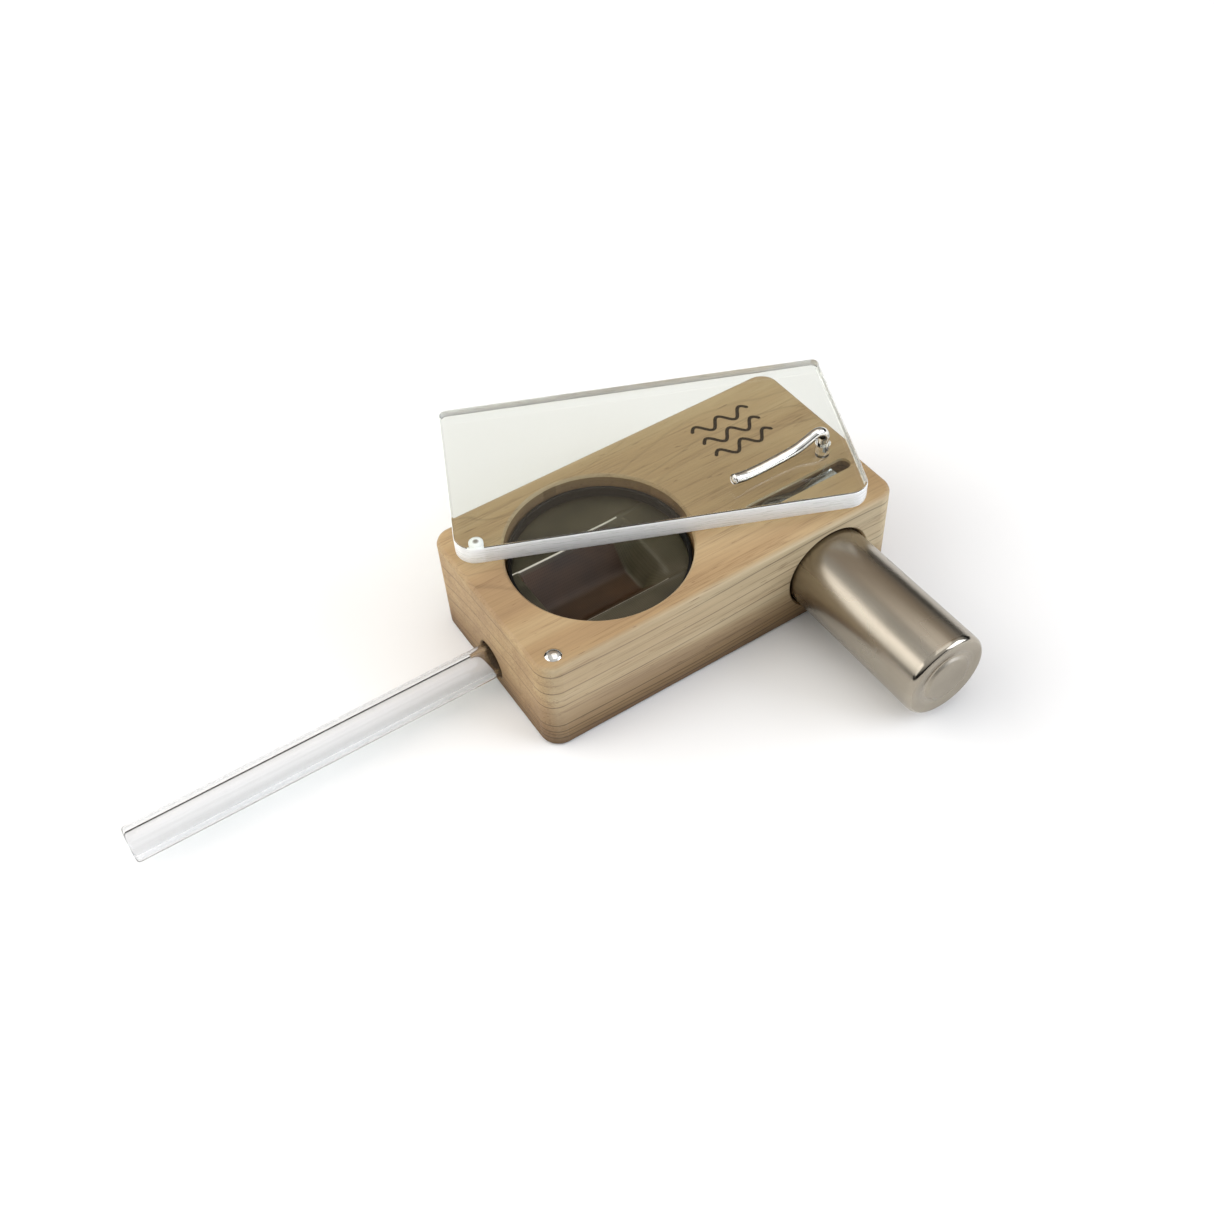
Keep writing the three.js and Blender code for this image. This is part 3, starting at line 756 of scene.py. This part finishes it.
wire = surface("spring_wire", swept(wire_route, circle, round_ends=0.35), "box", bright_wire)
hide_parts("lid_spring_wire")

# %% [markdown]
# ## Stud
# The lid clicks onto a small turned pin with a low domed head. The dome is part of a ball, and the
# ball's radius follows from the head's width and its rise, so it meets the rim where it should.

# %% The stud
stud_middle = (stud_low + stud_high) / 2
head = (stud_high[0] - stud_low[0]) / 2
seat = block_high[2] + 0.02
rise = stud_high[2] - seat
ball = (head ** 2 + rise ** 2) / (2 * rise)
rim_angle = math.degrees(math.asin((ball - rise) / ball))
SHANK = 0.8
stud_profile = outline(
    (0, stud_low[2]), (SHANK, stud_low[2]), (SHANK, seat), (head - 0.05, seat),
    arc((0, stud_high[2] - ball), ball, rim_angle + 1, 90, 12),
)
stud_points = turned(stud_profile, (stud_middle[0], stud_middle[1], 0), 2, 64)
stud = surface("stud", stud_points, "box", bright_stud)
stud.data.set_sharp_from_angle(angle=math.radians(40))
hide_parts("detent_stud")

# %% [markdown]
# ## Measures of the screen
# The screen is woven steel with a trough pressed into it for the leaf. Its opening comes from the
# ring that holds it, and the trough is a little off the middle, towards the front.

# %% Sizes of the screen
screen_middle = (ring_low + ring_high) / 2
screen_radius = (ring_high[0] - ring_low[0]) / 2
SHEET = 0.3
flat_z, floor_z = screen_high[2], screen_low[2] + SHEET
trough_left, trough_right = screen_middle[0] - 10.9, screen_middle[0] + 7.9
trough_y, top_half, floor_half = screen_middle[1] - 0.85, 6.85, 2.4
END_SLOPE = 2.6
print("screen radius", screen_radius, "trough depth", flat_z - floor_z)

# %% [markdown]
# ## Woven steel, browned by heat
# The wires cross over and under, which two sets of waves at right angles imitate. The real weave is
# finer than a hair and would not show, so it is drawn coarser, at 0.3 mm. Heat has browned the
# trough, and its two long folds carry a painted highlight where light catches their bends.

# %% Heat-browned woven steel
WEAVE = 0.3
BANDS_PER_UNIT = 3.183  # in a wave texture whose scale is one


def woven_steel():
    """Browned steel mesh: a dark, dull, faintly woven surface with a painted highlight along its two folds.
    """
    material, add, shader = new_material("stainless_mesh_heat_browned")
    place = add("SeparateXYZ", (millimetres(add),)).node.outputs
    threads = {"Vector": millimetres(add), "Scale": 1 / (WEAVE * BANDS_PER_UNIT), "Distortion": 0.4}
    warp, weft = (
        add("TexWave", threads, out="Fac", wave_type="BANDS", bands_direction=axis) for axis in "XY"
    )
    weave = add("Math", (warp, weft), "MAXIMUM")
    cloud = millimetres(add, (0.10, 0.16, 0.16))
    bloom = add("TexNoise", {"Vector": cloud, "Scale": 1, "Detail": 3})
    colour = add("ValToRGB", (bloom,), ((0.30, "#2f2a1c"), (0.50, "#3f3927"), (0.70, "#4b4433")))
    # the trough, which the rods heat, is browner the deeper it lies
    below = add("Math", (flat_z, place["Z"]), "SUBTRACT")
    depth = add("Math", (below, flat_z - floor_z), "DIVIDE")
    deep = add("ValToRGB", (depth,), ((0.03, 0.0), (0.16, 1.0)))
    past_end = add("Math", (trough_right - END_SLOPE, place["X"]), "SUBTRACT")
    before_end = add("ValToRGB", (past_end,), ((0.0, 0.0), (0.4, 1.0)))
    heated = add("Math", (deep, before_end), "MULTIPLY")
    brown = add("ValToRGB", (bloom,), ((0.3, "#291908"), (0.7, "#3f270e")))
    colour = add("Mix", {0: heated, 6: colour, 7: brown}, **BLEND)
    relief = add("ValToRGB", (weave,), ((0.2, 0.86), (0.9, 1.06)))
    colour = add("Mix", {0: 1.0, 6: colour, 7: relief}, **DARKEN)
    # a painted highlight along its two long folds, where light catches their bends
    off_fold = place["Y"]
    for offset in (trough_y, top_half + 0.12):
        off_fold = add("Math", (off_fold, offset), "SUBTRACT")
        off_fold = add("Math", (off_fold,), "ABSOLUTE")
    fold = add("ValToRGB", (off_fold,), ((0.0, 1.0), (0.07, 0.8), (0.14, 0.0)))
    on_trough = add("Math", (place["X"], trough_right - 1.0), "LESS_THAN")
    fold_highlight = add("Math", (fold, on_trough), "MULTIPLY")
    fainter_behind = add("ValToRGB", (place["Y"],), ((0.0, 1.0), (1.0, 0.9)))
    fold_highlight = add("Math", (fold_highlight, fainter_behind), "MULTIPLY")
    dull = add("ValToRGB", (weave,), ((0.2, 0.6), (0.9, 0.45)))
    feed(shader, {
        "Base Color": add("Mix", {0: fold_highlight, 6: colour, 7: "#d6cfc0"}, **BLEND),
        "Metallic": add("Math", (fold_highlight, 0.6, 0.2), "MULTIPLY_ADD"),
        "Roughness": add("Math", (fold_highlight, -0.2, dull), "MULTIPLY_ADD"),
        "Normal": add("Bump", {"Height": weave, "Distance": 0.006 * MM, "Strength": 0.4}),
    })
    return material


# %% [markdown]
# ## The pressed screen
# A flat disc of mesh was pushed over a form, so its surface is a height over the round opening:
# flat, then down a slope, then flat again, with soft folds. Lanes run along the trough and crowd
# together on its slopes, because evenly spread points would cut the folds into facets.

# %% The height of the screen
SOFT_SHARE = 0.06  # how much of a slope is rounded off at each end


def eased_step(value, low, high):
    """Zero below low, one above high, with a straight slope between whose ends are rounded off."""
    t = (value - low) / (high - low)
    return (np.logaddexp(0, t / SOFT_SHARE) - np.logaddexp(0, (t - 1) / SOFT_SHARE)) * SOFT_SHARE


def screen_height(x, y):
    """The screen's height: its flat, less the trough's depth, plus a low bead along each fold. The
    depth is one eased step across the trough, times a steep eased step at each of its two ends."""
    across = eased_step(top_half - np.abs(y - trough_y), 0, top_half - floor_half)
    left_end = eased_step(x, trough_left, trough_left + 0.5)
    right_end = eased_step(-x, -trough_right, -trough_right + END_SLOPE)
    fold = 0.13 * np.exp(-((np.abs(y - trough_y) - top_half - 0.25) / 0.28) ** 2)
    return flat_z - (flat_z - floor_z) * across * left_end * right_end + fold - 0.15


# %% [markdown]
# ### Laying the lanes
# Each lane runs from one side of the opening to the other, so its ends follow the circle. On the
# way it is cut where the trough's end slopes begin and finish, and each stretch gets as many points
# as its curve needs.

# %% The screen
def stretch(low, high, count):
    """Evenly spread places from low to high, for all lanes at once."""
    return low[:, None] + (high - low)[:, None] * np.linspace(0, 1, count)[None, :]


lanes = np.concatenate([
    np.linspace(-screen_radius, -top_half - 2, 20),
    np.linspace(-top_half - 1.95, -floor_half + 0.6, 70),
    np.linspace(-floor_half + 0.7, floor_half - 0.7, 14),
    np.linspace(floor_half - 0.6, top_half + 1.95, 70),
    np.linspace(top_half + 2, screen_radius, 20),
])
shifted = screen_middle[1] + lanes - 0.85 * (1 - np.abs(lanes) / screen_radius)
almost = screen_radius * 0.999
lane_y = np.clip(shifted, screen_middle[1] - almost, screen_middle[1] + almost)
reach = np.sqrt(screen_radius ** 2 - (lane_y - screen_middle[1]) ** 2)
edge_left, edge_right = screen_middle[0] - reach, screen_middle[0] + reach
turn_left = np.maximum(edge_left, trough_left - 0.3)
turn_right = np.minimum(edge_right, trough_right + 0.3)
inner_left = np.maximum(turn_left, np.minimum(trough_left + 0.9, turn_right))
inner_right = np.minimum(turn_right, np.maximum(trough_right - END_SLOPE - 0.5, turn_left))
screen_x = np.hstack([
    stretch(edge_left, turn_left, 6)[:, :-1], stretch(turn_left, inner_left, 16)[:, :-1],
    stretch(inner_left, inner_right, 60)[:, :-1], stretch(inner_right, turn_right, 24)[:, :-1],
    stretch(turn_right, edge_right, 16),
])
screen_y = np.repeat(lane_y[:, None], screen_x.shape[1], axis=1)
screen_points = np.stack([screen_x, screen_y, screen_height(screen_x, screen_y)], axis=2)
screen = surface("pressed_screen", screen_points, "box", woven_steel(), wrap_across=False, outward=False)
if screen.data.polygons[len(screen.data.polygons) // 2].normal.z < 0:
    screen.data.flip_normals()
thickness = screen.modifiers.new("sheet", "SOLIDIFY")
thickness.thickness = 0.12 * MM
thickness.offset = -1
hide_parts("mesh_screen")

# %% [markdown]
# ## Retaining ring
# A thin blackened ring pressed into the recess holds the screen by its rim. It is turned, and its
# four corners are broken with a small round, which is what catches a thin line of light.

# %% Blackened steel and the ring
# blackened steel: almost black, with a patchy half gloss
blackened = mottled("steel_blackened", "#0b0b0c", "#161617", (0.30, 0.5), 2, Metallic=0.6)
ring_inner = screen_radius - 0.55
LIP = 0.12
ring_profile = outline(
    arc((ring_inner + LIP, ring_low[2] + LIP), LIP, 180, 270, 3),
    arc((screen_radius - LIP, ring_low[2] + LIP), LIP, 270, 360, 3),
    arc((screen_radius - LIP, ring_high[2] - LIP), LIP, 0, 90, 3),
    arc((ring_inner + LIP, ring_high[2] - LIP), LIP, 90, 180, 3),
    (ring_inner, ring_low[2] + LIP),
)
ring_points = turned(ring_profile, (screen_middle[0], screen_middle[1], 0), 2, 160)
ring = surface("ring_in_recess", ring_points, "box", blackened)
ring.data.set_sharp_from_angle(angle=math.radians(50))
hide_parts("screen_ring")

# %% [markdown]
# ## Copper and spring strip
# Two copper rods under the screen's folds carry the current, and a copper strip waits at the bore's
# end. Metal that was drawn or rolled keeps fine lines along its length, which stretch every
# highlight, and bare copper tarnishes in clouds.

# %% Rolled and drawn metal
def rolled_metal(name, pale, dark, roughness):
    """Metal rolled or drawn along X: tarnish in its colour, and fine lines in its gloss."""
    material, add, shader = new_material(name)
    lines = add("TexNoise", {"Vector": millimetres(add, (0.3, 9.0, 9.0)), "Scale": 1, "Detail": 3})
    clouds = millimetres(add, (0.25, 0.25, 0.25))
    tarnish = add("TexNoise", {"Vector": clouds, "Scale": 1, "Detail": 4})
    share = add("ValToRGB", (tarnish,), ((0.35, 0.0), (0.7, 0.8)))
    gloss = ((0.3, roughness * 0.8), (0.7, roughness * 1.3))
    feed(shader, {
        "Base Color": add("Mix", {0: share, 6: pale, 7: dark}, **BLEND),
        "Roughness": add("ValToRGB", (lines,), gloss),
        "Metallic": 1.0,
        "Normal": add("Bump", {"Height": lines, "Distance": 0.006 * MM, "Strength": 0.4}),
    })
    return material


copper = rolled_metal("copper_drawn_tarnished", "#c98b68", "#8a5a40", 0.28)
spring_strip = rolled_metal("spring_steel_rolled", "#a9abab", "#6f706d", 0.18)

# %% [markdown]
# ## Side contact
# The cell slides against a strip of spring steel that is bowed in its slot. A strip is a thin
# rectangle with round edges, carried along its bent line in the same way as the wire.

# %% The bowed strip
contact_low, contact_high = box_mm("side_contact")
contact_y = (contact_low[1] + contact_high[1]) / 2
half_width = (contact_high[1] - contact_low[1]) / 2
contact_bends = (  # along X, height
    (9.55, 13.35), (10.4, 13.4), (11.0, 14.4), (11.6, 15.9), (13.0, 16.75),
    (15.4, 16.5), (18.7, 15.75), (22.2, 16.45), (25.5, 16.83),
)
contact_line = smooth_line([(along, contact_y, high) for along, high in contact_bends], 90)
STRIP_HALF, EDGE = 0.17, 0.15
strip_section = outline(
    arc((half_width - EDGE, 0), EDGE, -80, 80, 5),
    arc((-half_width + EDGE, 0), EDGE, 100, 260, 5),
) * (1, STRIP_HALF / EDGE)
strip_points = swept(contact_line, strip_section, round_ends=0.12)
contact = surface("side_strip", strip_points, "box", spring_strip)
contact.data.set_sharp_from_angle(angle=math.radians(50))
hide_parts("side_contact")

# %% [markdown]
# ## Nickel-plated steel
# The can is drawn from plated steel, so it carries faint lines along its length and a soft satin
# gloss. The punch leaves the end matt and the rolled corner bright, so the gloss changes with the
# distance from the end.

# %% Drawn nickel plate
cell_x, cell_z = (can_low[0] + can_high[0]) / 2, (can_low[2] + can_high[2]) / 2
can_radius = (can_high[0] - can_low[0]) / 2
can_length = can_high[1] - can_low[1]
cell_centre = (cell_x, can_low[1], cell_z)


def drawn_nickel():
    """Warm grey satin metal: matt end, bright rolled corner and faint lines along the side."""
    material, add, shader = new_material("nickel_plated_steel_drawn")
    place = add("SeparateXYZ", (millimetres(add),)).node.outputs
    from_end = add("Math", (place["Y"], can_low[1]), "SUBTRACT")
    drawing = millimetres(add, (3.0, 0.02, 3.0))
    lines = add("TexNoise", {"Vector": drawing, "Scale": 1, "Detail": 5, "Roughness": 0.6})
    clouds = millimetres(add, (0.15, 0.06, 0.15))
    cloud = add("TexNoise", {"Vector": clouds, "Scale": 1, "Detail": 3})
    plate = add("ValToRGB", (cloud,), ((0.3, "#a0988a"), (0.7, "#b0a89a")))
    streaks = add("ValToRGB", (lines,), ((0.3, 0.96), (0.7, 1.02)))
    along = add("Math", (from_end, 4.0), "DIVIDE")
    gloss = add("ValToRGB", (along,), ((0.08, 0.42), (0.12, 0.10), (0.28, 0.12), (0.36, 0.24)))
    feed(shader, {
        "Base Color": add("Mix", {0: 1.0, 6: plate, 7: streaks}, **DARKEN),
        "Roughness": add("Math", (cloud, 0.06, gloss), "MULTIPLY_ADD"),
        "Metallic": 1.0,
    })
    return material


# %% [markdown]
# ## The can
# The closed end shows a shallow raised disc inside a groove, and the open end is rolled in over a
# seal round the cap. All of this, with the inside wall, is one profile turned about the cell's axis.

# %% The can's profile
def smooth_rise(t):
    """Zero up to nought, one from one on, and three t squared less two t cubed between."""
    held = np.clip(t, 0, 1)
    return held ** 2 * (3 - 2 * held)


CAN_WALL, CORNER, LIFT = 0.35, 0.95, 0.35
MOUTH, FLOOR = 5.75, 0.95  # radius of the rolled mouth, and the inside floor's height
groove = can_length - 3.0
inside = can_radius - CAN_WALL
end_radius = np.linspace(3.3, can_radius - CORNER, 36)
disc_edge = (LIFT + 0.09) * smooth_rise((end_radius - 3.4) / 0.75)
end_rise = disc_edge - 0.19 * smooth_rise((end_radius - 4.3) / 1.6)
can_profile = outline(
    (0, 0.0), (2.0, 0.0), (3.0, 0.0), np.stack([end_radius, end_rise], axis=1),
    arc((can_radius - CORNER, end_rise[-1] + CORNER), CORNER, -82, 0, 12),
    (can_radius, groove - 0.9), (can_radius - 0.08, groove - 0.6),
    arc((can_radius, groove), 0.45, 225, 135, 6),
    (can_radius - 0.08, groove + 0.6), (can_radius, groove + 0.9),
    arc((can_radius - 0.6, can_length - 0.6), 0.6, 0, 90, 6), (MOUTH, can_length),
    (MOUTH, can_length - CAN_WALL), (inside - 0.2, can_length - CAN_WALL),
    (inside, can_length - CAN_WALL - 0.2), (inside, groove + 0.9), (inside - 0.42, groove),
    (inside, groove - 0.9), (inside, 1.6), (inside - 0.7, FLOOR), (0, FLOOR),
)
can = surface("nickel_can", turned(can_profile, cell_centre, 1, 160), "cell", drawn_nickel())
can.data.set_sharp_from_angle(angle=math.radians(45))
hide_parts("cell_can")

# %% [markdown]
# ## The cap
# The positive end is a small pressed cup with a flange under the seal. It is another turned
# profile, which shares the can's axis and is measured from the can's closed end.

# %% The positive cap
button_low, button_high = box_mm("cell_button")
cap_base = button_low[1] - can_low[1]
cap_top = button_high[1] - can_low[1]
cap_profile = outline(
    (2.35, cap_base), (5.1, cap_base), (5.1, cap_base + 0.25), (3.1, cap_base + 0.3),
    arc((3.05, cap_base + 0.6), 0.3, 270, 180, 5),
    arc((2.35, cap_top - 0.4), 0.4, 0, 90, 6), (0, cap_top), (0, cap_top - 0.3),
    (2.3, cap_top - 0.4), (2.35, cap_base),
)
cap = surface("positive_cap", turned(cap_profile, cell_centre, 1, 96), "cell", bright_plate)
cap.data.set_sharp_from_angle(angle=math.radians(45))
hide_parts("cell_button")

# %% [markdown]
# ## Glass draw tube
# The tube is plain borosilicate, cut and fire-polished, so its lips are round. Nothing but its
# outline, the bore's two lines and the bright lips show, so the wall has its real thickness and
# the real index of glass. Its long walls have many rows, because faces like needles crinkle.

# %% Borosilicate tube
# clear hard glass: dark thin outlines, bright lips, and a breath of haze along its length
borosilicate = clear_stock("borosilicate_fire_polished", "#f3f3f4", 1.473, (0.03, 0.5, 0.5), 2,
                           ((0.45, 0.0), (0.8, 0.03)), "#f1f4f3")
TUBE_WALL = 1.0
tube_outer = (tube_high[2] - tube_low[2]) / 2
tube_inner = tube_outer - TUBE_WALL
tube_centre = (0, (tube_low[1] + tube_high[1]) / 2, (tube_low[2] + tube_high[2]) / 2)
lip_radius = TUBE_WALL / 2
lip_middle = tube_outer - lip_radius
near_end, far_end = tube_low[0] + lip_radius, tube_high[0] - lip_radius
wall_steps = np.linspace(near_end, far_end, 50)[1:-1]
outer_wall, inner_wall = (
    np.stack([np.full(len(wall_steps), radius), wall_steps], axis=1) for radius in (tube_outer, tube_inner)
)
tube_profile = outline(
    arc((lip_middle, near_end), lip_radius, -180, 0, 12), outer_wall,
    arc((lip_middle, far_end), lip_radius, 0, 180, 12), inner_wall[::-1],
    (tube_inner, near_end),
)
tube = surface("glass_tube", turned(tube_profile, tube_centre, 0, 144), "tube", borosilicate)
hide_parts("draw_tube")

# %% [markdown]
# ## Pieces that stay inside
# The rods, the tip contact and the cell's insides keep the frame's own shape, because little of
# them is ever seen. They still get the finish of what they are: drawn copper, nylon, rubber,
# fibre card and pasted plate.

# %% Finishes for the inner pieces
# moulded nylon has a soft wax gloss, rubber is dull, and card and paste are dry and dead matt
nylon = mottled("nylon_moulded", "#d8d8d0", "#e6e6e0", (0.45, 0.3825), 0.4, (0.02, 0.4))
rubber = mottled("rubber_moulded", "#1f1f22", "#2c2c30", (0.8, 0.68), 0.4, (0.02, 0.4))
card = mottled("fibre_card_punched", "#d6cfbd", "#e9e4d6", (0.9, 0.765), 0.8, (0.02, 0.4))
paste = mottled("electrode_paste_pressed", "#222125", "#323136", (0.9, 0.765), 0.25, (0.02, 0.4))

inner_finishes = {
    "bus_rod_front": copper, "bus_rod_rear": copper, "tip_contact": copper,
    "cell_gasket": nylon, "cell_vent_plug": rubber, "cell_collector": spring_strip,
    "cell_top_insulator": card, "cell_bottom_insulator": card, "cell_separator": card,
    "cell_negative_plate": paste, "cell_positive_plate": paste,
}
for node, finish in inner_finishes.items():
    mesh = frame["nodes"][node].data
    mesh.materials.clear()
    mesh.materials.append(finish)
print("inner pieces finished:", len(inner_finishes))
